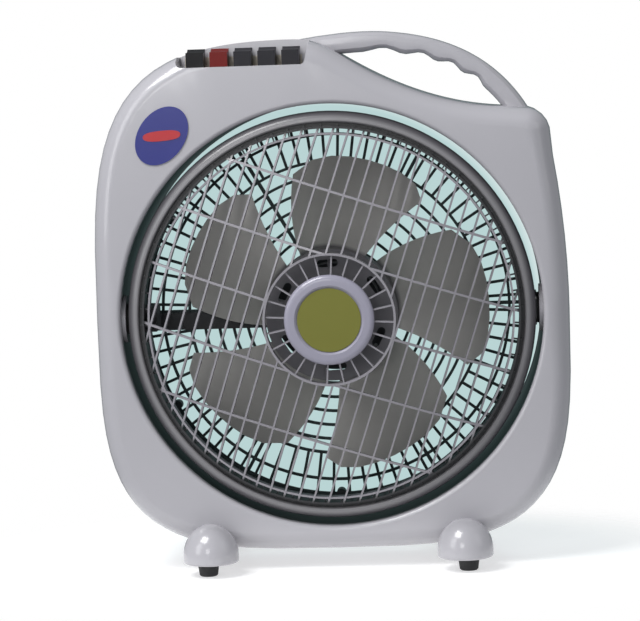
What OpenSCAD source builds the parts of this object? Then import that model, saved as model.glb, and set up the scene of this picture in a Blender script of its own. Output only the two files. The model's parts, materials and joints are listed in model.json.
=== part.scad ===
// Tilting-head box fan, 12 inch class.
// Millimetres, +Z up, the front looks along -Y. The origin is on the floor, under the middle of the fan.

/* [Head] */
// Outer radius of the head's front ring
head_r = 184.6; // [150:0.2:220]
// Clear gap between the head and the opening in the body
head_gap = 6.6; // [6:0.2:14]
// Depth of the head housing behind its front ring
drum_depth = 80; // [70:1:100]
// Wall of the head housing
drum_wall = 2.5; // [2:0.1:4]
// Height of the louvre dome in front of the front ring
dome_rise = 37; // [26:1:44]

/* [Body] */
// Width of the body's border beside the opening
side_border = 24; // [23:1:40]
// Height of the border under the opening
bottom_border = 23.6; // [22:0.2:40]
// Height of the ridge over the opening
top_border = 58.8; // [57:0.2:72]
// Depth of the body from its front face to its back face
body_depth = 120; // [110:1:145]
// Width of the soft shoulder round the front and back faces
shoulder = 18; // [10:1:19]
// Wall of the two body shells
shell_wall = 2.6; // [2:0.1:3.4]

/* [Handle] */
// Height of the handle bar, seen from the front
handle_bar = 19; // [15:0.5:22]
// Depth of the handle bar
handle_depth = 34; // [26:1:44]
// Depth of each finger groove
finger_groove = 4; // [0:0.5:5]

/* [Feet] */
// Height of the body's lowest point above the floor
leg_h = 16.5; // [16:0.5:40]
// Distance of each foot from the middle
foot_x = 115; // [100:1:125]
// Length of each foot from front to back
foot_len = 200; // [190:1:240]
// Width of each foot
foot_w = 50.4; // [40:0.2:54]

/* [Louvre and guard] */
// Distance between louvre slats
slat_pitch = 13.35; // [10:0.05:18]
// Depth of each slat
slat_depth = 13; // [8:1:15]
// Thickness of each slat
slat_t = 1.7; // [1.2:0.1:2.4]
// Number of radial bars in the rear guard's outer zone
guard_bars = 72; // [48:12:84]

/* [Fan and motor] */
// Radius to the blade tips
blade_r = 143; // [115:1:155]
// Number of blades
blades = 5; // [3:1:7]
// Radius of the motor housing
motor_r = 44; // [36:1:46]
// Diameter of the motor shaft
shaft_d = 8; // [6:0.5:10]

/* [Buttons] */
// Distance between buttons
key_pitch = 21.7; // [21:0.1:22.5]
// Width of each button
key_w = 16; // [13:0.5:17]
// Travel of each button
key_travel = 4; // [2:0.5:5]

/* [Hidden] */
$fn = 96;

// Clearances between pieces that move, and between pieces that fit
gap = 0.3;
fit = 0.1;
cut = 1;

// Main places
opening_r = head_r + head_gap;
half_w = opening_r + side_border;
body_low = opening_r + bottom_border;
body_high = opening_r + top_border;
axis_z = leg_h + body_low;
face_y = -body_depth / 2;
back_y = body_depth / 2;
lip_len = 10;
collar = 2.5;

// Outline of the body: a rounded square in each quarter, a leaning right side, a slope under the handle
square_low = 3.75;
square_top = 3.58;
side_lean = 0.0006;
corner_r = 24;
corner_x = half_w - 29.7;
corner_z = opening_r - 10;
slope_flat = 0.088;
slope_curve = 0.002;
slope_start = 32;
blend_k = 5;
arch_join_x = -0.66 * half_w;

// Button bay in the top left of the front shell
keys = 5;
key_depth = 20;
key_edge = 15.7;
bay_right = -14;
bay_left = bay_right - (keys - 1) * key_pitch - 2 * key_edge - 0.8;
bay_floor = body_high - 23;
bay_bend = 5;
bay_back = -12;
bay_open_y = bay_back - 30;
key_y = bay_back - 4 - key_depth / 2;
key_rise = 17;
function key_x(k) = bay_left + key_edge + key_pitch * k;

// Button stems and their wells in the switch
cap_foot = bay_floor - 8;
well_top = cap_foot - key_travel - gap;
spring_h = 8.6;
well_floor = well_top - spring_h - 0.2;
stem_r = 2.5;
stem_foot = well_floor - 1.8;
switch_top = bay_floor - 5;
switch_foot = stem_foot - key_travel - 3;

// Handle arch
arch_square = 2.88;
arch_high = body_high + 6;
arch_from = 95;
arch_to = 34;
arch_step = 1.5;
arch_drop = 8;
groove_step = 9;
groove_first = 50.5;
groove_last = 86.5;

// Head, measured from the head's own axis
lip_y = face_y;
ring_lip_r = head_r - 10.4;
pivot_y = lip_y + 32;
ring_back = lip_y + 10;
drum_front = ring_back + 3;
drum_back = lip_y + drum_depth + 12;
drum_r = head_r - 4.8;
groove_r = ring_lip_r + 2.6;
pin_r = 4;
boss_r = 16;
boss_x = head_r + 0.8;
bracket_r = 21.5;
bracket_x = opening_r - 3.5;
bracket_back = opening_r + 6;

// Louvre: a dome that is part of a ball
hub_r = 58.4;
hub_wall = 2;
outer_ring_r = ring_lip_r - 3.3;
inner_ring_r = outer_ring_r - 5.6;
ring_wall = 1.8;
dome_y = lip_y - dome_rise;
dome_fall = dome_rise - 9;
dome_ball = (pow(inner_ring_r, 2) - pow(hub_r, 2)) / (2 * dome_fall);
dome_centre = dome_y + sqrt(pow(dome_ball, 2) - pow(hub_r, 2));
function dome_at(r) = dome_centre - sqrt(pow(dome_ball, 2) - r * r);
bar_pitch = 54.5;
louvre_turn = 18.7;
flange_y = lip_y + 4.5;
skirt_back = lip_y + 12;
cap_r = 40.3;
cap_recess_r = 28.6;
spokes = 24;
ribs = 72;

// Drive roller and its motor, just inside the louvre's rim
roller_r = 5;
roller_x = -(outer_ring_r - ring_wall - gap - roller_r);

// Guard, motor and blade
guard_y = drum_back - 4;
guard_t = 3;
guard_step = 13.15;
guard_rings = 7;
guard_hub_r = motor_r + 13.9;
guard_outer_r = guard_hub_r + (guard_rings - 1) * guard_step;
guard_mid_r = guard_outer_r + 24.9;
guard_rim_r = drum_r - drum_wall - gap;
plate_r = motor_r + 14;
lug_r = 4.4;
lug_at = guard_rim_r - 3.2;
motor_y = guard_y - 38;
motor_back = guard_y + 32;
core_y = guard_y - 14;
core_len = 26;
core_r = motor_r - 2.6;
rotor_r = core_r - 19.4;
coil_r = core_r - 10.4;
coil_t = 5.5;
bearing_r = 8;
bearing_len = 8;
shaft_r = shaft_d / 2;
blade_hub_r = 60;
blade_front = lip_y + 13;
blade_deep = 46;
hub_skirt = 32;

// Feet
foot_r = foot_w / 2;
foot_base = 12;
foot_top = leg_h + 30.3;
pad_shift = 2.7;
pad_r = 9.9;
bar_half = 16;
pad_y = foot_len / 2 - foot_r;
foot_screw_y = 30;

// ---------------------------------------------------------------- helpers

// Moves a piece from the head's own axis to its place
module at_axis() { translate([0, 0, axis_z]) children(); }

// Cylinder along Y from y0 to y1
module rod_y(r, y0, y1) { translate([0, y0, 0]) rotate([-90, 0, 0]) cylinder(r = r, h = y1 - y0); }

// Cylinder along X from x0 to x1
module rod_x(r, x0, x1) { translate([x0, 0, 0]) rotate([0, 90, 0]) cylinder(r = r, h = x1 - x0); }

// Ring about Y from y0 to y1
module ring_y(r_out, r_in, y0, y1) {
    difference() {
        rod_y(r_out, y0, y1);
        rod_y(r_in, y0 - cut, y1 + cut);
    }
}

// Solid turned about Y from an outline of [radius, y] points
module turned_y(points) { rotate([-90, 0, 0]) rotate_extrude($fn = 180) polygon(points); }

// Box from its lowest to its highest corner
module span(a, b) { translate(a) cube(b - a); }

// Copies set round the Y axis, the first at angle a0 from +X
module round_y(count, a0 = 0) {
    for (k = [0 : count - 1]) rotate([0, -a0 - 360 * k / count, 0]) children();
}

// Points of a quarter of an ellipse, from angle t0 to t1
function quarter(cx, cy, rx, ry, t0, t1, n = 6) =
    [for (k = [0 : n]) let (t = t0 + (t1 - t0) * k / n) [cx + rx * cos(t), cy + ry * sin(t)]];

// Closed skin over a stack of loops that hold the same number of points
module loft(loops) {
    n = len(loops[0]);
    last = (len(loops) - 1) * n;
    points = [for (l = loops) each l];
    walls = [for (k = [0 : len(loops) - 2], i = [0 : n - 1])
        let (a = k * n + i, b = k * n + (i + 1) % n) each [[a, b + n, b], [a, a + n, b + n]]];
    first = [for (i = [0 : n - 1]) i];
    end = [for (i = [0 : n - 1]) last + n - 1 - i];
    polyhedron(points, concat([first], walls, [end]));
}

// Round wire through a list of points that run mostly across Y
module wire(points, r) {
    n = len(points);
    loft([for (i = [0 : n - 1])
        let (run = points[min(n - 1, i + 1)] - points[max(0, i - 1)], d = run / norm(run),
            side = [-d[2], 0, d[0]] / norm([d[0], d[2]]))
        [for (t = [0 : 30 : 330]) points[i] + r * cos(t) * side + r * sin(t) * cross(d, side)]]);
}

// ---------------------------------------------------------------- body outline

// Point of a rounded square at angle t
function square_pt(t, a, b, n) =
    [a * sign(cos(t)) * pow(abs(cos(t)), 2 / n), b * sign(sin(t)) * pow(abs(sin(t)), 2 / n)];

// Height of a rounded square at x
function square_z(x, a, b, n) = b * pow(1 - pow(min(1, abs(x) / a), n), 1 / n);

// Smooth lower one of two heights
function soft_min(a, b, k) = min(a, b) - k * ln(1 + exp(-abs(a - b) / k));

// Top of the body where it runs down under the handle
function slope_z(x) = corner_z + slope_flat * (corner_x - x)
    + slope_curve * pow(max(0, corner_x - slope_start - x), 2);

// Top of the body from its right corner to the top left quarter
function top_z(x) = soft_min(x < 0 ? square_z(x, half_w, body_high, square_top) : body_high,
    slope_z(x), blend_k);

top_left_t = acos(pow(-arch_join_x / half_w, square_top / 2));
right_side = [for (z = [18 : 24 : corner_z - 30]) [half_w - side_lean * z * z, z]];
right_corner = [for (t = [12 : 16.5 : 78])
    [corner_x + 16.5 - corner_r * (1 - cos(t)), corner_z + 1 - corner_r * (1 - sin(t))]];
top_line = [for (k = [1 : 38]) let (x = corner_x + (arch_join_x - corner_x) * k / 38) [x, top_z(x)]];
top_left = [for (k = [1 : 11])
    square_pt(180 - top_left_t + k * top_left_t / 12, half_w, body_high, square_top)];
low_half = [for (t = [180 : 5 : 360]) square_pt(t, half_w, body_low, square_low)];
outline = concat(right_side, right_corner, top_line, top_left, low_half);

// The outline moved inward along its normals, at depth y
function moved(inset, y) = let (n = len(outline)) [for (i = [0 : n - 1])
    let (a = outline[(i + n - 1) % n], b = outline[(i + 1) % n], d = (b - a) / norm(b - a))
    [outline[i][0] - inset * d[1], y, outline[i][1] + inset * d[0]]];

// Loops of the soft shoulder up to the face; the inner skin runs level with the outer one
function soft_loops(inner) = let (steps = 5)
    [for (k = [steps : -1 : 0]) let (t = 90 * k / steps)
        moved(inner + (shoulder - inner) * (1 - sin(t)), face_y + inner + 1.3 * shoulder * (1 - cos(t)))];

// Half of the body, from its face back to y_end
module half_body(inner, y_end) { loft(concat([moved(inner, y_end)], soft_loops(inner))); }

// Both halves of the body in one
module whole_body() {
    front = soft_loops(0);
    back = [for (k = [len(front) - 1 : -1 : 0]) [for (p = front[k]) [p[0], -p[1], p[2]]]];
    loft(concat(back, front));
}

// ---------------------------------------------------------------- handle

// Outer arc of the handle, which sinks to the ridge at its left end
arch = [for (t = [arch_from : -arch_step : arch_to])
    let (p = square_pt(t, half_w, arch_high, arch_square))
    [p[0], p[1] - arch_drop * pow(min(1, max(0, (60 - p[0]) / 95)), 2), t]];

// Height of the bar at one place of the arc, less the finger groove there
function bar_height(t) = t < groove_first || t > groove_last ? handle_bar :
    handle_bar - finger_groove * (1 + cos(360 * (t - groove_first - groove_step / 2) / groove_step)) / 2;

// Cross-section of the bar: a rounded rectangle hung inward from the arc
function bar_loop(i) = let (n = len(arch), a = arch[max(0, i - 1)], b = arch[min(n - 1, i + 1)],
    run = [b[0] - a[0], b[1] - a[1]], d = run / norm(run), high = bar_height(arch[i][2]))
    [for (t = [0 : 22.5 : 337.5]) let (s = square_pt(t, 1, 1, 3.4), deep = high * (1 - s[1]) / 2)
        [arch[i][0] + deep * d[1], s[0] * handle_depth / 2, arch[i][1] - deep * d[0]]];

module handle_arch() { loft([for (i = [0 : len(arch) - 1]) bar_loop(i)]); }

// ---------------------------------------------------------------- body pieces

boss_places = [[153, -150], [-153, -150], [168, 148], [-163, 152]];
bush_at = [-0.779 * half_w, 30, -0.879 * body_low];
bush_lean = 222;

// Opening with a rounded edge, cut from the front face
module opening_cutter() {
    edge = 4;
    rod_y(opening_r, face_y - cut, cut);
    turned_y(concat([[0, face_y - cut], [opening_r + edge, face_y - cut]],
        [for (k = [0 : 6]) let (t = 15 * k)
            [opening_r + edge * (1 - sin(t)), face_y + edge * (1 - cos(t))]],
        [[0, face_y + edge]]));
}

// Room of the button bay, open to the front and the top; its right wall leans outward
module bay_block(wall) {
    bend = bay_bend + wall;
    high = body_high + 20;
    translate([0, bay_back + wall, 0]) rotate([90, 0, 0])
        linear_extrude(bay_back + wall - face_y + 20) polygon(concat([[bay_left - wall, high]],
            quarter(bay_left + bay_bend, bay_floor + bay_bend, bend, bend, 180, 270),
            quarter(bay_right - 2 - bay_bend, bay_floor + bay_bend, bend, bend, 270, 360),
            [[bay_right + 6 + wall, high]]));
}

module shell_bosses(y0, y1) {
    for (p = boss_places) translate([p[0], 0, p[1]]) rod_y(5.5, y0, y1);
}

// Half of the hollow body with its half of the handle, for the front
module half_shell() {
    difference() {
        union() {
            half_body(0, 0);
            intersection() {
                handle_arch();
                span([-half_w, -handle_depth, 0], [half_w, 0, body_high + 30]);
            }
        }
        children();
    }
    ring_y(opening_r + collar, opening_r - cut, face_y + 2, face_y + lip_len);
    shell_bosses(face_y + 2, 0);
}

module foot_screw_holes() {
    for (x = [-foot_x, foot_x]) translate([x, 0, -axis_z]) translate([0, -foot_screw_y, 0])
        cylinder(r = 2.1, h = leg_h + 30);
}

module front_shell() {
    color([0.78, 0.77, 0.82]) at_axis() difference() {
        half_shell() {
            difference() {
                half_body(shell_wall, cut);
                bay_block(shell_wall);
            }
            bay_block(0);
        }
        opening_cutter();
        span([bay_left + 5, bay_open_y, bay_floor - shell_wall - cut],
            [bay_right - 6, bay_back - 1, bay_floor + cut]);
        for (p = boss_places) translate([p[0], 0, p[1]]) rod_y(2.1, face_y + lip_len, cut);
        foot_screw_holes();
    }
}

module rear_shell() {
    color([0.76, 0.75, 0.8]) at_axis() difference() {
        mirror([0, 1, 0]) half_shell() half_body(shell_wall, cut);
        mirror([0, 1, 0]) opening_cutter();
        for (p = boss_places) translate([p[0], 0, p[1]]) {
            rod_y(2.1, -cut, back_y + cut);
            rod_y(4.2, back_y - 14, back_y + cut);
        }
        mirror([0, 1, 0]) foot_screw_holes();
        at_bush() cylinder(r = 7 + fit, h = 60, center = true);
    }
}

module tunnel_ring() {
    color([0.1, 0.1, 0.12]) at_axis() difference() {
        ring_y(opening_r + collar, opening_r + gap, face_y + lip_len, back_y - lip_len);
        translate([0, pivot_y, 0]) rod_x(bracket_r + fit, -half_w, half_w);
    }
}

// Badge place on the front face, turned along the corner
module at_badge() { at_axis() translate([-147, 0, 167]) rotate([90, 0, 0]) rotate([0, 0, 52]) children(); }

module badge_plate() {
    color([0.12, 0.2, 0.55]) at_badge() translate([0, 0, -face_y])
        linear_extrude(1) polygon([for (t = [0 : 6 : 354]) [29 * cos(t), 21 * sin(t)]]);
}

module badge_band() {
    color([0.8, 0.1, 0.12]) at_badge() translate([0, 0, 1 - face_y]) rotate([0, 0, -48])
        linear_extrude(0.6) polygon([for (t = [0 : 7.5 : 352.5]) square_pt(t, 17, 4.6, 2.6)]);
}

// ---------------------------------------------------------------- buttons

module button_bezel() {
    color([0.72, 0.66, 0.58]) at_axis() difference() {
        union() {
            span([bay_left + 5 + fit, bay_open_y + fit, bay_floor - shell_wall],
                [bay_right - 6 - fit, bay_back - 1 - fit, bay_floor]);
            span([bay_left + 5 + fit, bay_back - 3, bay_floor],
                [bay_right - 7, bay_back - 1 - fit, bay_floor + 9]);
        }
        for (k = [0 : keys - 1]) translate([key_x(k), key_y, bay_floor])
            cube([key_w + 2 * gap, key_depth + 2 * gap, 12], center = true);
    }
}

module switch_body() {
    x0 = key_x(0) - key_w / 2 - 3;
    x1 = key_x(keys - 1) + key_w / 2 + 3;
    color([0.18, 0.18, 0.2]) at_axis() difference() {
        union() {
            span([x0, key_y - key_depth / 2 - 3, switch_foot], [x1, key_y + key_depth / 2 + 3, switch_top]);
            for (x = [x0, x1 - 2]) translate([x, 0, 0])
                span([0, key_y - 6, switch_top], [2, key_y + 6, bay_floor - shell_wall]);
        }
        for (k = [0 : keys - 1]) translate([key_x(k), key_y, 0]) {
            span([-key_w / 2 - gap, -key_depth / 2 - gap, well_top],
                [key_w / 2 + gap, key_depth / 2 + gap, switch_top + cut]);
            translate([0, 0, well_floor]) cylinder(r = 5.2, h = switch_top);
            translate([0, 0, stem_foot - key_travel - 1]) cylinder(r = stem_r + gap, h = switch_top);
        }
    }
}

// One coil spring about Z, from z = 0 to spring_h
module spring() {
    coil = 4.2;
    thick = 0.5;
    turns = 3;
    steps = 11;
    rise = (spring_h - 2 * thick) / (turns * steps);
    loft([for (k = [0 : turns * steps]) let (a = 360 * k / steps)
        [for (t = [0 : 72 : 288]) let (r = coil + thick * cos(t))
            [r * cos(a), r * sin(a), thick + rise * k - thick * sin(t)]]]);
}

module button_springs() {
    color([0.7, 0.7, 0.72]) at_axis()
        for (k = [0 : keys - 1]) translate([key_x(k), key_y, well_floor]) spring();
}

// One button: a cap with a finger scoop, on a round stem
module button(k) {
    scoop_r = 28;
    top = bay_floor + key_rise;
    at_axis() translate([key_x(k), key_y, 0]) {
        difference() {
            span([-key_w / 2, -key_depth / 2, cap_foot], [key_w / 2, key_depth / 2, top]);
            translate([0, -4, top + scoop_r - 4.2]) rod_x(scoop_r, -key_w, key_w);
        }
        translate([0, 0, stem_foot]) cylinder(r = stem_r, h = cap_foot - stem_foot + cut);
    }
}

module button_louvre() { color([0.16, 0.16, 0.18]) button(0); }
module button_stop() { color([0.75, 0.1, 0.1]) button(1); }
module button_low() { color([0.3, 0.3, 0.34]) button(2); }
module button_medium() { color([0.3, 0.3, 0.34]) button(3); }
module button_high() { color([0.3, 0.3, 0.34]) button(4); }

// ---------------------------------------------------------------- pivots

// Right-hand pivot pieces; the left ones are mirrored
module pivot_bracket() {
    at_axis() translate([0, pivot_y, 0]) difference() {
        union() {
            rod_x(bracket_r, bracket_x, bracket_back);
            rod_x(bracket_r + 5, bracket_back - 2.8, bracket_back);
        }
        rod_x(pin_r + fit, bracket_x - cut, bracket_back + cut);
    }
}

module pivot_pin() {
    at_axis() translate([0, pivot_y, 0]) {
        rod_x(pin_r, drum_r - 1.5, bracket_back + 3);
        rod_x(7, bracket_back, bracket_back + 4);
    }
}

module friction_washer() {
    at_axis() translate([0, pivot_y, 0]) difference() {
        rod_x(14, boss_x + gap, bracket_x);
        rod_x(pin_r + fit, boss_x, bracket_x + cut);
    }
}

module left_pivot_bracket() { color([0.62, 0.61, 0.65]) mirror([1, 0, 0]) pivot_bracket(); }
module right_pivot_bracket() { color([0.62, 0.61, 0.65]) pivot_bracket(); }
module left_pivot_pin() { color([0.6, 0.6, 0.62]) mirror([1, 0, 0]) pivot_pin(); }
module right_pivot_pin() { color([0.6, 0.6, 0.62]) pivot_pin(); }
module left_friction_washer() { color([0.1, 0.1, 0.1]) mirror([1, 0, 0]) friction_washer(); }
module right_friction_washer() { color([0.1, 0.1, 0.1]) friction_washer(); }

// ---------------------------------------------------------------- feet and fasteners

// Domed end of a foot
module foot_dome() {
    straight = 7;
    rotate_extrude($fn = 96) polygon(concat([[0, foot_base], [foot_r - 2.5, foot_base]],
        quarter(foot_r - 2.5, foot_base + 2.5, 2.5, 2.5, -90, 0, 4),
        quarter(0, foot_base + straight, foot_r, foot_top - foot_base - straight, 0, 90, 12)));
}

module foot(side) {
    translate([side * foot_x, 0, 0]) difference() {
        union() {
            for (y = [-pad_y, pad_y]) translate([0, y, 0]) foot_dome();
            span([-bar_half, -pad_y, foot_base], [bar_half, pad_y, leg_h + 16]);
        }
        translate([-side * foot_x, 0, axis_z]) whole_body();
        for (y = [-pad_y, pad_y]) translate([side * pad_shift, y, 0])
            cylinder(r = 4 + fit, h = foot_base + 7);
        difference() {
            span([3 - bar_half, 6 - pad_y + foot_r, 0], [bar_half - 3, pad_y - foot_r - 6, foot_base + 3]);
            for (y = [-foot_screw_y, foot_screw_y]) translate([0, y, 0]) cylinder(r = 7, h = leg_h);
        }
        for (y = [-foot_screw_y, foot_screw_y]) translate([0, y, 0]) {
            cylinder(r = 2.1, h = leg_h + 30);
            cylinder(r = 4.3, h = foot_base + 5);
        }
    }
}

module left_foot() { color([0.8, 0.79, 0.84]) foot(-1); }
module right_foot() { color([0.8, 0.79, 0.84]) foot(1); }

// Rubber pad with a plug that fits the foot
module pad(side, end) {
    color([0.08, 0.08, 0.09]) translate([side * (foot_x + pad_shift), end * pad_y, 0]) {
        rotate_extrude($fn = 48)
            polygon([[0, 0], [pad_r - 2.6, 0], [pad_r - 1.5, 1.1], [pad_r, foot_base], [0, foot_base]]);
        translate([0, 0, foot_base - 0.5]) cylinder(r = 4, h = 6.5);
    }
}

module front_left_pad() { pad(-1, -1); }
module front_right_pad() { pad(1, -1); }
module rear_left_pad() { pad(-1, 1); }
module rear_right_pad() { pad(1, 1); }

module foot_screws() {
    color([0.65, 0.65, 0.68])
    for (x = [-foot_x, foot_x], y = [-foot_screw_y, foot_screw_y]) translate([x, y, 0]) {
        translate([0, 0, foot_base + 2.2]) cylinder(r = 4, h = 2.8);
        translate([0, 0, foot_base + 4]) cylinder(r = 2, h = leg_h + 8);
    }
}

module shell_screws() {
    color([0.65, 0.65, 0.68]) at_axis() for (p = boss_places) translate([p[0], 0, p[1]]) {
        rod_y(4, back_y - 14, back_y - 11);
        rod_y(2, -24, back_y - 12);
    }
}

module capacitor() {
    x0 = key_x(keys - 1) + key_w / 2 + 3;
    color([0.15, 0.15, 0.17]) at_axis()
        span([x0, key_y - 11, switch_foot + 1], [x0 + 30, key_y + 7, switch_top - 1]);
}

// Bush place in the lower left of the rear shell, its Z axis pointing outward
module at_bush() { translate(bush_at) rotate([0, bush_lean, 0]) children(); }

module cord_bush() {
    color([0.1, 0.1, 0.11]) at_axis() at_bush() difference() {
        union() {
            translate([0, 0, -8]) cylinder(r = 7, h = 12);
            translate([0, 0, 1.5]) cylinder(r = 9, h = 2.5);
        }
        translate([0, 0, -9]) cylinder(r = 3.3, h = 16);
    }
}

// Insulated lead from the switch to the left pivot
module body_lead() {
    color([0.85, 0.85, 0.86]) at_axis() wire([[-116, 6, 206], [-146, 8, 159], [-184, 10, 98], [-206, 10, 42],
        [-205.5, -6, 24], [-205, -20, 14]], 2.8);
}

// ---------------------------------------------------------------- head

module head_housing() {
    color([0.12, 0.12, 0.14]) at_axis() difference() {
        union() {
            ring_y(drum_r, drum_r - drum_wall, drum_front, drum_back);
            for (s = [-1, 1]) translate([0, pivot_y, 0]) intersection() {
                rod_x(boss_r, s > 0 ? drum_r - 8 : -boss_x, s > 0 ? boss_x : 8 - drum_r);
                translate([0, -pivot_y, 0]) ring_y(head_r + 20, drum_r - 1.2, drum_front, drum_back);
            }
            round_y(6, 30) translate([lug_at, 0, 0]) rod_y(lug_r, guard_y - 10, guard_y);
        }
        translate([0, pivot_y, 0]) {
            rod_x(pin_r + 0.08, drum_r - 1.6, head_r + 20);
            rod_x(pin_r + 0.08, -head_r - 20, 1.6 - drum_r);
        }
        round_y(6, 30) translate([lug_at, 0, 0]) rod_y(1.7, guard_y - 9, guard_y + cut);
    }
}

module head_front_ring() {
    inner = 2.2;
    color([0.34, 0.33, 0.37]) at_axis() difference() {
        turned_y(concat(
        quarter(ring_lip_r + inner, lip_y + 3, inner, 3, 180, 270),
        quarter(ring_lip_r + inner, ring_back, head_r - ring_lip_r - inner, 10, 270, 360, 8),
        [[head_r, ring_back + 3], [drum_r + 2.8, ring_back + 4.4], [drum_r + 2.8, ring_back + 12],
            [drum_r + fit, ring_back + 12], [drum_r + fit, ring_back], [groove_r, ring_back],
            [groove_r, lip_y + 4], [ring_lip_r, lip_y + 4]]));
        translate([0, pivot_y, 0]) rod_x(boss_r + fit, -head_r - 1, head_r + 1);
    }
}

// Clips behind the louvre's flange, each a short piece of a stepped ring
module louvre_clips() {
    color([0.2, 0.2, 0.22]) at_axis() intersection() {
        union() {
            ring_y(groove_r - 0.2, outer_ring_r + 0.4, flange_y + 2 + 0.6, ring_back);
            ring_y(drum_r - 0.2, outer_ring_r + 0.4, ring_back, drum_front - 0.2);
        }
        round_y(6, 20) span([100, -100, -8], [200, 100, 8]);
    }
}

module rear_guard() {
    bar = 2.6;
    wide = 1.3;
    color([0.14, 0.2, 0.2]) at_axis() {
        difference() {
            union() {
                for (k = [1 : guard_rings - 1]) let (r = guard_hub_r + k * guard_step)
                    ring_y(r + wide, r - wide, guard_y, guard_y + guard_t);
                ring_y(guard_mid_r + wide, guard_mid_r - wide, guard_y, guard_y + guard_t);
                ring_y(guard_rim_r, guard_rim_r - 3, guard_y, guard_y + guard_t);
                ring_y(plate_r, motor_r + 0.4, guard_y, guard_y + guard_t);
                round_y(guard_bars, 2.5) span([guard_outer_r, guard_y + 0.3, -bar / 2],
                    [guard_rim_r - 2, guard_y + guard_t - 0.3, bar / 2]);
                round_y(6) span([plate_r - 0.5, guard_y, -1.6], [guard_rim_r - 2, guard_y + guard_t + 1, 1.6]);
                round_y(6, 30) translate([lug_at, 0, 0]) intersection() {
                    rod_y(lug_r, guard_y, guard_y + guard_t);
                    translate([-lug_at, 0, 0]) rod_y(guard_rim_r - 0.1, guard_y, guard_y + guard_t);
                }
            }
            round_y(6, 30) translate([lug_at, 0, 0]) rod_y(1.7, guard_y - cut, guard_y + guard_t + cut);
            round_y(4, 45) translate([motor_r + 7, 0, 0]) rod_y(2.1, guard_y - cut, guard_y + guard_t + cut);
        }
    }
}

module guard_screws() {
    color([0.65, 0.65, 0.68]) at_axis() round_y(6, 30) translate([lug_at, 0, 0]) {
        rod_y(3.2, guard_y + guard_t, guard_y + guard_t + 2);
        rod_y(1.6, guard_y - 8, guard_y + guard_t + cut);
    }
}

// Cable cover along the guard's left spoke
module cable_arm() {
    color([0.13, 0.13, 0.15]) at_axis() difference() {
        span([-guard_rim_r + 4, guard_y - 9, -16.2], [-plate_r + 1, guard_y, -0.6]);
        span([-guard_rim_r + 6, guard_y - 7, -14.2], [-plate_r, guard_y + cut, -2.6]);
    }
}

// ---------------------------------------------------------------- motor

module motor_front_cover() {
    color([0.24, 0.23, 0.26]) at_axis() difference() {
        union() {
            difference() {
                rod_y(motor_r, motor_y, guard_y);
                rod_y(core_r + fit, motor_y + 3, guard_y + cut);
            }
            rod_y(bearing_r + 2, motor_y, motor_y + 3 + bearing_len);
            ring_y(plate_r - 2, motor_r - 1, guard_y - guard_t, guard_y);
        }
        rod_y(bearing_r + 0.05, motor_y + 3, motor_y + 4 + bearing_len);
        rod_y(shaft_r + 0.5, motor_y - cut, motor_y + 4);
        round_y(4, 45) translate([motor_r + 7, 0, 0]) rod_y(2.1, guard_y - guard_t - cut, guard_y + cut);
        round_y(8) span([motor_r - 22, motor_y - cut, -2.2], [motor_r - 8, motor_y + 3 + cut, 2.2]);
    }
}

module motor_rear_cover() {
    color([0.24, 0.23, 0.26]) at_axis() difference() {
        union() {
            difference() {
                rod_y(motor_r, guard_y, motor_back);
                rod_y(core_r + fit, guard_y - cut, motor_back - 3);
            }
            rod_y(bearing_r + 2, motor_back - 3 - bearing_len, motor_back);
        }
        rod_y(bearing_r + 0.05, motor_back - 4 - bearing_len, motor_back - 3);
        round_y(8) span([motor_r - 22, motor_back - 3 - cut, -2.2], [motor_r - 8, motor_back + cut, 2.2]);
    }
}

module motor_screws() {
    color([0.65, 0.65, 0.68]) at_axis() round_y(4, 45) translate([motor_r + 7, 0, 0]) {
        rod_y(3.6, guard_y + guard_t, guard_y + guard_t + 2.4);
        rod_y(2, guard_y - guard_t, guard_y + guard_t + cut);
    }
}

module stator_core() {
    color([0.5, 0.5, 0.52]) at_axis() difference() {
        ring_y(core_r, rotor_r + 0.4, core_y, core_y + core_len);
        round_y(8, 22.5) translate([coil_r, 0, 0]) rod_y(4.2, core_y - cut, core_y + core_len + cut);
    }
}

module stator_windings() {
    color([0.72, 0.42, 0.2]) at_axis() {
        for (y = [core_y - coil_t, core_y + core_len + coil_t]) translate([0, y, 0])
            rotate([-90, 0, 0]) rotate_extrude() translate([coil_r, 0]) circle(r = coil_t, $fn = 32);
        round_y(8, 22.5) translate([coil_r, 0, 0]) rod_y(4, core_y - 2, core_y + core_len + 2);
    }
}

module front_bearing() {
    color([0.7, 0.55, 0.3]) at_axis()
        ring_y(bearing_r, shaft_r + 0.05, motor_y + 3, motor_y + 3 + bearing_len);
}

module rear_bearing() {
    color([0.7, 0.55, 0.3]) at_axis()
        ring_y(bearing_r, shaft_r + 0.05, motor_back - 3 - bearing_len, motor_back - 3);
}

// Outer cap over the back of the motor, with radial slots
module motor_cap() {
    base = guard_y + guard_t;
    back = motor_back + 16;
    color([0.13, 0.13, 0.15]) at_axis() difference() {
        turned_y(concat([[plate_r - 3, base], [plate_r - 1, base]],
            quarter(plate_r - 13, back - 12, 10, 12, 0, 90),
            [[0, back], [0, back - 2]], quarter(plate_r - 14, back - 13, 9, 11, 90, 0)));
        round_y(16) span([22, back - 4, -1.6], [plate_r - 16, back + cut, 1.6]);
        round_y(16) span([plate_r - 8, base + 12, -1.6], [plate_r + cut, back - 14, 1.6]);
    }
}

// ---------------------------------------------------------------- fan

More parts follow.
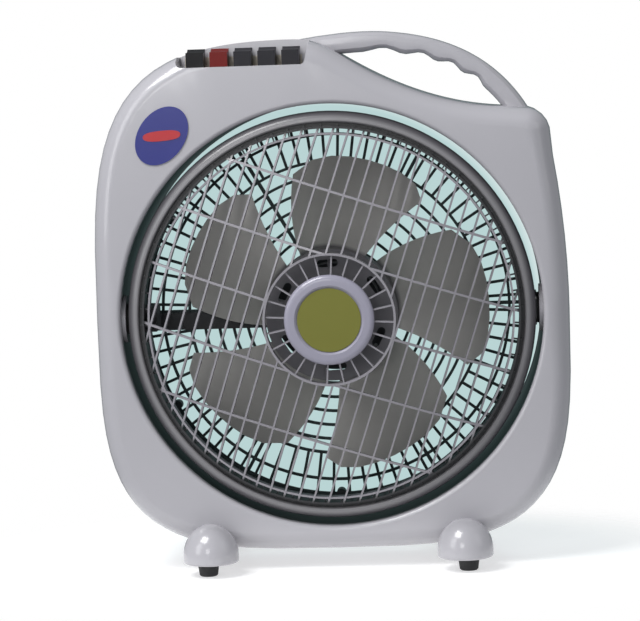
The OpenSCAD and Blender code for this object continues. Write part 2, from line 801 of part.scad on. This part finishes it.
// Angles of a blade's two edges at radius r; the root runs ahead of the tip
function edge_mid(r) = 39.4 - 0.168 * (r - blade_r);
function edge_half(r) = 6 + 3 * (r - 70) / 73;
function blade_tip(f) = blade_r - 12 * pow(abs(2 * f - 1), 5);
function blade_pt(f, g, side) = let (r = blade_hub_r - 2 + (blade_tip(f) - blade_hub_r + 2) * g,
    low = edge_mid(r) + edge_half(r), high = edge_mid(r) + 360 / blades - edge_half(r),
    a = low + (high - low) * f, y = blade_front + 2 + blade_deep * (0.5 + 0.46 * sin(180 * (f - 0.5))) + side)
    [r * cos(a), y, r * sin(a)];

// One blade as a thin closed sheet
module blade() {
    nf = 8;
    ng = 7;
    w = nf + 1;
    count = w * (ng + 1);
    points = [for (side = [-1, 1], g = [0 : ng], f = [0 : nf]) blade_pt(f / nf, g / ng, side)];
    front = [for (g = [0 : ng - 1], f = [0 : nf - 1]) let (a = g * w + f)
        each [[a, a + 1, a + w + 1], [a, a + w + 1, a + w]]];
    back = [for (t = front) [t[0] + count, t[2] + count, t[1] + count]];
    root = [for (f = [0 : nf - 1]) each [[f, f + count, f + 1 + count], [f, f + 1 + count, f + 1]]];
    tip = [for (f = [0 : nf - 1]) let (a = ng * w + f)
        each [[a, a + 1 + count, a + count], [a, a + 1, a + 1 + count]]];
    lead = [for (g = [0 : ng - 1]) let (a = g * w)
        each [[a, a + w + count, a + count], [a, a + w, a + w + count]]];
    trail = [for (g = [0 : ng - 1]) let (a = g * w + nf)
        each [[a, a + count, a + w + count], [a, a + w + count, a + w]]];
    polyhedron(points, concat(front, back, root, tip, lead, trail));
}

module fan_blade() {
    color([0.42, 0.41, 0.38]) at_axis() {
        round_y(blades) blade();
        difference() {
            union() {
                ring_y(blade_hub_r, blade_hub_r - 2.5, blade_front, blade_front + hub_skirt);
                rod_y(blade_hub_r, blade_front, blade_front + 2.5);
                rod_y(11, blade_front, blade_front + 26);
                round_y(blades, 20) span([8, blade_front, -1], [blade_hub_r - 2, blade_front + 14, 1]);
            }
            rod_y(shaft_r + 0.05, blade_front - cut, blade_front + 30);
            round_y(6, 93) {
                span([43.5, blade_front - cut, -6], [50.5, blade_front + 4, 6]);
                for (z = [-6, 6]) translate([47, 0, z]) rod_y(3.5, blade_front - cut, blade_front + 4);
            }
        }
    }
}

module blade_nut() {
    color([0.1, 0.1, 0.11]) at_axis() difference() {
        turned_y(concat([[0, blade_front], [16, blade_front], [16, blade_front - 5]],
            quarter(9, blade_front - 5, 7, 8, 0, -90), [[0, blade_front - 13]]));
        rod_y(shaft_r + 0.05, blade_front - 8, blade_front + cut);
        round_y(10) translate([17.5, 0, 0]) rod_y(3, blade_front - 14, blade_front + cut);
    }
}

module rotor_core() {
    color([0.55, 0.55, 0.58]) at_axis() ring_y(rotor_r, shaft_r, core_y, core_y + core_len);
}

module motor_shaft() { color([0.75, 0.75, 0.78]) at_axis() rod_y(shaft_r, blade_front - 7, motor_back - 4); }

// ---------------------------------------------------------------- louvre

// Shell of the dome, t thick
module dome_shell(t) {
    translate([0, dome_centre, 0]) difference() {
        sphere(r = dome_ball, $fn = 200);
        sphere(r = dome_ball - t, $fn = 200);
    }
}

// Room that the louvre's slats may fill, inside its rim and outside its hub
module louvre_room() {
    turned_y([[hub_r - 0.5, dome_y - 12], [inner_ring_r, dome_y - 12], [inner_ring_r, dome_at(inner_ring_r)],
        [outer_ring_r - 0.4, lip_y - 4], [outer_ring_r - 0.4, lip_y + 5], [hub_r - 0.5, lip_y + 5]]);
}

module louvre_disc() {
    slats = floor((inner_ring_r - slat_pitch / 2) / slat_pitch);
    color([0.62, 0.61, 0.65]) at_axis() rotate([0, louvre_turn, 0]) {
        intersection() {
            louvre_room();
            union() {
                intersection() {
                    dome_shell(slat_depth);
                    for (s = [-1, 1], k = [0 : slats]) translate([s * (k + 0.5) * slat_pitch, 0, 0])
                        span([-slat_t / 2, dome_y - 10, -head_r], [slat_t / 2, 0, head_r]);
                }
                intersection() {
                    dome_shell(4);
                    for (k = [-2 : 2]) translate([0, 0, k * bar_pitch])
                        span([-head_r, dome_y - 10, -1], [head_r, 0, 1]);
                }
            }
        }
        ring_y(hub_r + hub_wall / 2, hub_r - hub_wall / 2, dome_y, dome_y + 12);
        ring_y(inner_ring_r, inner_ring_r - ring_wall,
            dome_at(inner_ring_r) - 0.3, dome_at(inner_ring_r) + 11);
        ring_y(outer_ring_r, outer_ring_r - ring_wall, lip_y - 4.5, skirt_back);
        ring_y(groove_r - 0.6, outer_ring_r - 0.5, flange_y, flange_y + 2);
        round_y(spokes) span([cap_r - 3, dome_y + 2, -0.7], [hub_r, dome_y + 7, 0.7]);
        round_y(ribs) span([inner_ring_r - 1, lip_y + 1, -0.6], [ring_lip_r - 0.9, flange_y + 1, 0.6]);
        ring_y(cap_r - 0.5, cap_r - 4, dome_y + 2, dome_y + 11);
        rod_y(cap_r - 0.5, dome_y + 9, dome_y + 11);
    }
}

module louvre_cap() {
    color([0.8, 0.79, 0.84]) at_axis() turned_y(concat([[0, dome_y + 2], [cap_r, dome_y + 2]],
        quarter(cap_r - 5, dome_y + 1, 5, 4, 0, -90),
        quarter(cap_recess_r + 2.4, dome_y - 3, 0.1, 0.1, -90, -90, 1),
        [[cap_recess_r, dome_y - 0.8], [0, dome_y - 0.8]]));
}

module cap_disc() {
    color([0.37, 0.38, 0.19]) at_axis() rod_y(cap_recess_r - 0.2, dome_y - 1.8, dome_y - 0.8);
}

// Rubber roller that turns the louvre by its rim
module drive_roller() {
    color([0.1, 0.1, 0.11]) at_axis() translate([roller_x, 0, 0]) {
        rod_y(roller_r, lip_y + 7.2, lip_y + 11.4);
        rod_y(1.5, lip_y + 7.2, lip_y + 18);
    }
}

module louvre_motor() {
    y0 = lip_y + 14;
    color([0.16, 0.16, 0.18]) at_axis() difference() {
        intersection() {
            span([-drum_r, y0, -11], [roller_x + 4, y0 + 36, 11]);
            rod_y(drum_r - drum_wall, y0, y0 + 36);
        }
        translate([roller_x, 0, 0]) rod_y(1.5 + gap, y0 - cut, y0 + 5);
    }
}

// ---------------------------------------------------------------- drawing

front_shell();
rear_shell();
tunnel_ring();
badge_plate();
badge_band();
button_bezel();
switch_body();
button_springs();
button_louvre();
button_stop();
button_low();
button_medium();
button_high();
left_pivot_bracket();
right_pivot_bracket();
left_pivot_pin();
right_pivot_pin();
left_friction_washer();
right_friction_washer();
left_foot();
right_foot();
front_left_pad();
front_right_pad();
rear_left_pad();
rear_right_pad();
foot_screws();
shell_screws();
capacitor();
cord_bush();
body_lead();
head_housing();
head_front_ring();
louvre_clips();
rear_guard();
guard_screws();
cable_arm();
motor_front_cover();
motor_rear_cover();
motor_screws();
stator_core();
stator_windings();
front_bearing();
rear_bearing();
motor_cap();
louvre_motor();
fan_blade();
blade_nut();
rotor_core();
motor_shaft();
louvre_disc();
louvre_cap();
cap_disc();
drive_roller();
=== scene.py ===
"""Looks of the box fan: smooth shading, materials, stage, light and camera around the CAD frame."""

import json
import math

import bpy
from mathutils import Matrix, Vector

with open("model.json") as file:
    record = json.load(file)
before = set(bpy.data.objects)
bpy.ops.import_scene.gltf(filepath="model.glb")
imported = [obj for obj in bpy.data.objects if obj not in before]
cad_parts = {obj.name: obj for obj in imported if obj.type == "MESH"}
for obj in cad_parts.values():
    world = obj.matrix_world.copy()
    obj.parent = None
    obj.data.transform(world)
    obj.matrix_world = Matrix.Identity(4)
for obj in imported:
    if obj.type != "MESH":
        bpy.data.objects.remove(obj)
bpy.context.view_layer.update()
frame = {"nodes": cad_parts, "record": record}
nodes = frame["nodes"]


# ---------------------------------------------------------------- surfaces

WELD_DISTANCE = 0.00001
BEVEL_FROM_ANGLE = 40
NORMAL_WEIGHT = 50
KEY_BEVEL = 0.002
KEYS = ("button_louvre", "button_stop", "button_low", "button_medium", "button_high")
SMOOTH_NODES = ("front_shell", "rear_shell", "left_foot", "right_foot", "body_lead", "button_springs",
                "fan_blade")


def smooth(obj, angle=30.0, bevel=0.0):
    """Smooth shading over curved faces, crisp edges kept; bevels and welds are modifiers, so the mesh's
    own points stay where they are. Angle in degrees, bevel in metres."""
    mesh = obj.data
    custom = mesh.attributes.get("custom_normal")
    if custom:
        mesh.attributes.remove(custom)
    for face in mesh.polygons:
        face.use_smooth = True
    weld = obj.modifiers.new("weld", "WELD")
    weld.merge_threshold = WELD_DISTANCE
    if bevel:
        soft = obj.modifiers.new("soft_edges", "BEVEL")
        soft.width = bevel
        soft.segments = 3
        soft.limit_method = "ANGLE"
        soft.angle_limit = math.radians(BEVEL_FROM_ANGLE)
        soft.use_clamp_overlap = True
    split = obj.modifiers.new("edges", "EDGE_SPLIT")
    split.split_angle = math.radians(angle)
    even = obj.modifiers.new("even", "WEIGHTED_NORMAL")
    even.weight = NORMAL_WEIGHT
    even.keep_sharp = True


for name in SMOOTH_NODES:
    smooth(nodes[name])
for name in KEYS:
    smooth(nodes[name], bevel=KEY_BEVEL)


# ---------------------------------------------------------------- materials

STAIN_SCALE = 6.0
GRAIN_SCALE = 900.0
FLAT_GRAIN = 0.00001
RADIUS_SCALE = 5.0
DULL_SPECULAR = 0.18


def shader(name):
    """A new material with its node tree, Principled shader and output."""
    mat = bpy.data.materials.new(name)
    mat.use_nodes = True
    tree = mat.node_tree
    bsdf = tree.nodes["Principled BSDF"]
    return mat, tree, bsdf


def noise(tree, scale, detail=3.0, rough=0.5, stretch=None):
    """Noise in object space, in cycles per metre, stretched along an axis if asked."""
    coord = tree.nodes.new("ShaderNodeTexCoord")
    tex = tree.nodes.new("ShaderNodeTexNoise")
    tex.inputs["Scale"].default_value = scale
    tex.inputs["Detail"].default_value = detail
    tex.inputs["Roughness"].default_value = rough
    if stretch:
        mapping = tree.nodes.new("ShaderNodeMapping")
        mapping.inputs["Scale"].default_value = stretch
        tree.links.new(coord.outputs["Object"], mapping.inputs["Vector"])
        tree.links.new(mapping.outputs["Vector"], tex.inputs["Vector"])
    else:
        tree.links.new(coord.outputs["Object"], tex.inputs["Vector"])
    return tex.outputs["Fac"]


def ramp(tree, value, stops):
    """Colour ramp over a value, from a list of (position, colour)."""
    node = tree.nodes.new("ShaderNodeValToRGB")
    elements = node.color_ramp.elements
    while len(elements) < len(stops):
        elements.new(0.5)
    for e, (at, colour) in zip(elements, stops):
        e.position = at
        e.color = (*colour, 1.0)
    tree.links.new(value, node.inputs["Fac"])
    return node.outputs["Color"]


def span(tree, value, a, b):
    """A noise value moved to a..b; most of the noise lies between 0.3 and 0.7."""
    node = tree.nodes.new("ShaderNodeMapRange")
    node.inputs["From Min"].default_value = 0.3
    node.inputs["From Max"].default_value = 0.7
    node.inputs["To Min"].default_value = a
    node.inputs["To Max"].default_value = b
    tree.links.new(value, node.inputs["Value"])
    return node.outputs["Result"]


def bump(tree, bsdf, value, strength, distance):
    """Fine relief from a value, its depth in metres."""
    node = tree.nodes.new("ShaderNodeBump")
    node.inputs["Strength"].default_value = strength
    node.inputs["Distance"].default_value = distance
    tree.links.new(value, node.inputs["Height"])
    tree.links.new(node.outputs["Normal"], bsdf.inputs["Normal"])


def tint(colour, k):
    """A colour made k times as bright."""
    return tuple(max(0.0, min(1.0, c * k)) for c in colour)


def plastic(name, colour, rough=0.3, coat=0.0, spread=0.05, grain_depth=0.00003):
    """Moulded plastic: faint cloudy colour, uneven gloss and a fine moulded grain. A colour of None
    is left for radial() to set."""
    mat, tree, bsdf = shader(name)
    if colour:
        cloud = noise(tree, STAIN_SCALE, 4.0, 0.6)
        colours = ramp(tree, cloud, [(0.3, tint(colour, 1 - spread)), (0.7, tint(colour, 1 + spread))])
        tree.links.new(colours, bsdf.inputs["Base Color"])
    smear = noise(tree, STAIN_SCALE * 5, 3.0, 0.6)
    tree.links.new(span(tree, smear, rough * 0.96, rough * 1.05), bsdf.inputs["Roughness"])
    bsdf.inputs["Coat Weight"].default_value = coat
    bsdf.inputs["Coat Roughness"].default_value = 0.08
    bump(tree, bsdf, noise(tree, GRAIN_SCALE, 2.0, 0.5), 0.4, grain_depth)
    return mat


def metal(name, colour, rough=0.3, stretch=(1, 1, 12)):
    """Bare metal with fine brushed lines."""
    mat, tree, bsdf = shader(name)
    bsdf.inputs["Metallic"].default_value = 1.0
    lines = noise(tree, 400.0, 3.0, 0.6, stretch)
    colours = ramp(tree, lines, [(0.3, tint(colour, 0.85)), (0.7, tint(colour, 1.08))])
    tree.links.new(colours, bsdf.inputs["Base Color"])
    tree.links.new(span(tree, lines, rough * 0.7, rough * 1.3), bsdf.inputs["Roughness"])
    bump(tree, bsdf, lines, 0.3, 0.00002)
    return mat


def rubber(name, colour):
    """Dull rubber with a grain and a little dust."""
    mat, tree, bsdf = shader(name)
    dust = noise(tree, 60.0, 5.0, 0.7)
    colours = ramp(tree, dust, [(0.45, colour), (0.75, tint(colour, 2.2))])
    tree.links.new(colours, bsdf.inputs["Base Color"])
    tree.links.new(span(tree, dust, 0.55, 0.85), bsdf.inputs["Roughness"])
    bump(tree, bsdf, noise(tree, 700.0, 3.0, 0.6), 0.5, 0.00005)
    return mat


def radial(mat, obj, stops):
    """Base colour by distance from the head's own axis, from a list of (radius in metres, colour). On
    the front ring and the louvre these bands are painted highlight and painted shade; on the blade the
    dark centre is the hub's own colour.
    obj is any piece on the same body that is round about the axis."""
    tree = mat.node_tree
    bsdf = tree.nodes["Principled BSDF"]
    corners = [Vector(c) for c in obj.bound_box]
    middle = sum(corners, Vector()) / 8
    coord = tree.nodes.new("ShaderNodeTexCoord")
    shift = tree.nodes.new("ShaderNodeVectorMath")
    shift.operation = "SUBTRACT"
    shift.inputs[1].default_value = middle
    tree.links.new(coord.outputs["Object"], shift.inputs[0])
    flat = tree.nodes.new("ShaderNodeVectorMath")
    flat.operation = "MULTIPLY"
    flat.inputs[1].default_value = (RADIUS_SCALE, 0.0, RADIUS_SCALE)
    tree.links.new(shift.outputs["Vector"], flat.inputs[0])
    size = tree.nodes.new("ShaderNodeVectorMath")
    size.operation = "LENGTH"
    tree.links.new(flat.outputs["Vector"], size.inputs[0])
    shade = ramp(tree, size.outputs["Value"], [(RADIUS_SCALE * r, colour) for r, colour in stops])
    cloud = ramp(tree, noise(tree, 8.0, 4.0, 0.6), [(0.3, (0.94, 0.94, 0.94)), (0.7, (1.0, 1.0, 1.0))])
    blend = tree.nodes.new("ShaderNodeMix")
    blend.data_type = "RGBA"
    blend.blend_type = "MULTIPLY"
    blend.inputs[0].default_value = 1.0
    colour_in = [i for i in blend.inputs if i.type == "RGBA"]
    colour_out = [o for o in blend.outputs if o.type == "RGBA"]
    tree.links.new(shade, colour_in[0])
    tree.links.new(cloud, colour_in[1])
    tree.links.new(colour_out[0], bsdf.inputs["Base Color"])


# Base colours are linear; keys are the material slots of the record
MATERIALS = {
    "shell_plastic": plastic("shell_plastic", (0.40, 0.392, 0.42), 0.26, 0.5, 0.01, FLAT_GRAIN),
    "dark_gloss": plastic("dark_gloss", (0.026, 0.037, 0.038), 0.32, 0.1, 0.2, FLAT_GRAIN),
    "badge_blue": plastic("badge_blue", (0.008, 0.014, 0.18), 0.25, 0.6, 0.05),
    "badge_red": plastic("badge_red", (0.42, 0.008, 0.014), 0.25, 0.6, 0.05),
    "bezel_tan": plastic("bezel_tan", (0.55, 0.50, 0.42), 0.5, 0.0, 0.08),
    "dark_plastic": plastic("dark_plastic", (0.034, 0.035, 0.039), 0.45, 0.0, 0.2),
    "steel": metal("steel", (0.55, 0.55, 0.57), 0.3),
    "button_black": plastic("button_black", (0.005, 0.005, 0.006), 0.35, 0.1, 0.1),
    "button_red": plastic("button_red", (0.13, 0.007, 0.006), 0.4, 0.1, 0.1),
    "button_grey": plastic("button_grey", (0.018, 0.0175, 0.022), 0.42, 0.1, 0.1),
    "pivot_grey": plastic("pivot_grey", (0.42, 0.41, 0.44), 0.4, 0.1, 0.05),
    "rubber": rubber("rubber", (0.012, 0.012, 0.013)),
    "lead_grey": plastic("lead_grey", (0.55, 0.55, 0.56), 0.45, 0.0, 0.05),
    "ring_grey": plastic("ring_grey", None, 0.36, 0.15),
    "guard_dark": plastic("guard_dark", (0.028, 0.052, 0.054), 0.5, 0.05, 0.2),
    "motor_grey": plastic("motor_grey", (0.035, 0.033, 0.04), 0.5, 0.0, 0.2),
    "core_steel": metal("core_steel", (0.35, 0.35, 0.36), 0.45, (1, 30, 1)),
    "copper": metal("copper", (0.60, 0.25, 0.09), 0.35, (1, 1, 20)),
    "bronze": metal("bronze", (0.50, 0.33, 0.15), 0.4),
    "blade_grey": plastic("blade_grey", None, 0.5),
    "louvre_grey": plastic("louvre_grey", None, 0.35, 0.2),
    "cap_light": plastic("cap_light", (0.30, 0.29, 0.36), 0.3, 0.4, 0.03),
    "cap_olive": plastic("cap_olive", (0.175, 0.175, 0.035), 0.3, 0.3, 0.06),
}

for slot in ("button_red", "button_grey", "button_black", "cap_olive", "blade_grey"):
    dull = MATERIALS[slot].node_tree.nodes["Principled BSDF"]
    dull.inputs["Specular IOR Level"].default_value = DULL_SPECULAR

# Painted highlight and shade on the front ring: the lighter band near its inner edge is a painted
# reflection, and the dark outer band is painted shadow on the ring's outer slope.
radial(MATERIALS["ring_grey"], nodes["head_front_ring"],
       [(0.1742, (0.20, 0.195, 0.205)), (0.1780, (0.21, 0.205, 0.215)), (0.1810, (0.09, 0.087, 0.095)),
        (0.1846, (0.06, 0.058, 0.065))])
radial(MATERIALS["blade_grey"], nodes["motor_shaft"],
       [(0.058, (0.21, 0.205, 0.22)), (0.0605, (0.22, 0.215, 0.22)), (0.064, (0.56, 0.55, 0.52))])
# Painted shade on the louvre: its outer thin ring is made near black for the shadow under the front
# ring's lip; inside that ring the louvre keeps its own grey.
radial(MATERIALS["louvre_grey"], nodes["louvre_disc"],
       [(0.1665, (0.26, 0.25, 0.275)), (0.1685, (0.03, 0.03, 0.033)), (0.176, (0.02, 0.02, 0.022))])

for part in frame["record"]["subparts"]:
    obj = nodes[part["node"]]
    slot = part["material_slot"]
    obj.data.materials.clear()
    obj.data.materials.append(MATERIALS[slot])


# ---------------------------------------------------------------- stage, light and camera

FLOOR_WIDTH = 0.9
FLOOR_FADE = (0.42, 0.32)


def floor_material():
    """Pale floor that fades out round the fan."""
    mat, tree, bsdf = shader("floor")
    bsdf.inputs["Base Color"].default_value = (0.62, 0.62, 0.62, 1)
    bsdf.inputs["Emission Color"].default_value = (1, 1, 1, 1)
    bsdf.inputs["Emission Strength"].default_value = 0.5
    bsdf.inputs["Roughness"].default_value = 0.6
    coord = tree.nodes.new("ShaderNodeTexCoord")
    grad = tree.nodes.new("ShaderNodeTexGradient")
    grad.gradient_type = "SPHERICAL"
    mapping = tree.nodes.new("ShaderNodeMapping")
    mapping.inputs["Scale"].default_value = (1 / FLOOR_FADE[0], 1 / FLOOR_FADE[1], 1)
    tree.links.new(coord.outputs["Object"], mapping.inputs["Vector"])
    tree.links.new(mapping.outputs["Vector"], grad.inputs["Vector"])
    fade = tree.nodes.new("ShaderNodeMapRange")
    fade.interpolation_type = "SMOOTHSTEP"
    fade.inputs["From Min"].default_value = 0.0
    fade.inputs["From Max"].default_value = 0.45
    tree.links.new(grad.outputs["Fac"], fade.inputs["Value"])
    tree.links.new(fade.outputs["Result"], bsdf.inputs["Alpha"])
    return mat


bpy.ops.mesh.primitive_plane_add(size=1.0)
floor = bpy.context.object
floor.name = "floor"
floor.scale = (FLOOR_WIDTH, FLOOR_WIDTH, 1)
bpy.ops.object.transform_apply(location=False, rotation=False, scale=True)
floor.data.materials.append(floor_material())


def area(name, at, aim, size, size_y, power, colour=(1, 1, 1)):
    """A rectangular light, in metres and watts, that the camera doesn't see."""
    light = bpy.data.lights.new(name, "AREA")
    light.energy = power
    light.color = colour
    light.shape = "RECTANGLE"
    light.size = size
    light.size_y = size_y
    o = bpy.data.objects.new(name, light)
    bpy.context.scene.collection.objects.link(o)
    o.location = at
    o.rotation_mode = "QUATERNION"
    o.rotation_quaternion = (Vector(aim) - Vector(at)).to_track_quat("-Z", "Y")
    o.visible_camera = False
    return o


area("key_top", (-1.0, -1.1, 2.1), (0, 0, 0.25), 1.1, 1.0, 44)
area("fill_left", (-2.0, -1.5, 1.0), (0, 0, 0.2), 1.0, 1.6, 14, (0.98, 0.99, 1))
area("fill_right", (2.2, -1.0, 1.2), (0, 0, 0.2), 1.0, 1.6, 3)
area("front", (-0.5, -2.9, 0.9), (0, 0, 0.23), 0.8, 0.8, 10)
back = area("back_aqua", (0.3, 1.6, 0.9), (0, 0, 0.25), 1.2, 1.2, 12, (0.75, 0.97, 1.0))
back.visible_glossy = False

# What lights the fan: a pale room, darker teal behind. What the camera sees: white, with an aqua
# patch behind the head. The patch's edges are distances from its direction, on a unit sphere.
ROOM_STRENGTH = 0.42
ROOM_REAR = (0.16, 0.25, 0.25)
ROOM_PALE = (0.93, 0.96, 1.0)
PATCH_AT = (-0.0536, 1.0, -0.0914)
PATCH_AQUA = (0.49, 0.66, 0.66)
PATCH_INNER = 0.0745
PATCH_OUTER = 0.0815

world = bpy.data.worlds.new("studio")
bpy.context.scene.world = world
world.use_nodes = True
tree = world.node_tree
for n in list(tree.nodes):
    tree.nodes.remove(n)
out = tree.nodes.new("ShaderNodeOutputWorld")
mix = tree.nodes.new("ShaderNodeMixShader")
seen = tree.nodes.new("ShaderNodeBackground")
around = tree.nodes.new("ShaderNodeBackground")
around.inputs["Strength"].default_value = ROOM_STRENGTH
path = tree.nodes.new("ShaderNodeLightPath")
tree.links.new(path.outputs["Is Camera Ray"], mix.inputs[0])
tree.links.new(around.outputs[0], mix.inputs[1])
tree.links.new(seen.outputs[0], mix.inputs[2])
tree.links.new(mix.outputs[0], out.inputs["Surface"])
coord = tree.nodes.new("ShaderNodeTexCoord")
away = tree.nodes.new("ShaderNodeVectorMath")
away.operation = "DISTANCE"
away.inputs[1].default_value = Vector(PATCH_AT).normalized()
tree.links.new(coord.outputs["Generated"], away.inputs[0])
rear = tree.nodes.new("ShaderNodeVectorMath")
rear.operation = "DISTANCE"
rear.inputs[1].default_value = (0.0, 1.0, 0.0)
tree.links.new(coord.outputs["Generated"], rear.inputs[0])
room = ramp(tree, rear.outputs["Value"],
            [(0.0, ROOM_REAR), (0.35, ROOM_REAR), (0.75, ROOM_PALE)])
tree.links.new(room, around.inputs["Color"])
patch = ramp(tree, away.outputs["Value"],
             [(0.0, PATCH_AQUA), (PATCH_INNER, PATCH_AQUA), (PATCH_OUTER, (1.0, 1.0, 1.0))])
tree.links.new(patch, seen.inputs["Color"])
seen.inputs["Strength"].default_value = 1.0

CAMERA_AT = Vector((0.1309, -2.560, 0.4622))
YAW, PITCH, ROLL = -0.05623, -0.08982, -0.03375
SENSOR_MM = 36.0
FOCAL_MM = 156.89475

cam_data = bpy.data.cameras.new("camera")
cam = bpy.data.objects.new("camera", cam_data)
bpy.context.scene.collection.objects.link(cam)
bpy.context.scene.camera = cam
cam_data.sensor_fit = "HORIZONTAL"
cam_data.sensor_width = SENSOR_MM
cam_data.lens = FOCAL_MM
cam_data.clip_start = 0.1
cam_data.clip_end = 100.0
ahead = Vector((math.sin(YAW) * math.cos(PITCH), math.cos(YAW) * math.cos(PITCH), math.sin(PITCH)))
right = ahead.cross(Vector((0, 0, 1))).normalized()
up = right.cross(ahead)
right, up = (math.cos(ROLL) * right + math.sin(ROLL) * up,
             -math.sin(ROLL) * right + math.cos(ROLL) * up)
cam.matrix_world = Matrix((
    (right.x, up.x, -ahead.x, CAMERA_AT.x),
    (right.y, up.y, -ahead.y, CAMERA_AT.y),
    (right.z, up.z, -ahead.z, CAMERA_AT.z),
    (0, 0, 0, 1)))

scene = bpy.context.scene
scene.view_settings.view_transform = "Standard"
scene.view_settings.look = "None"
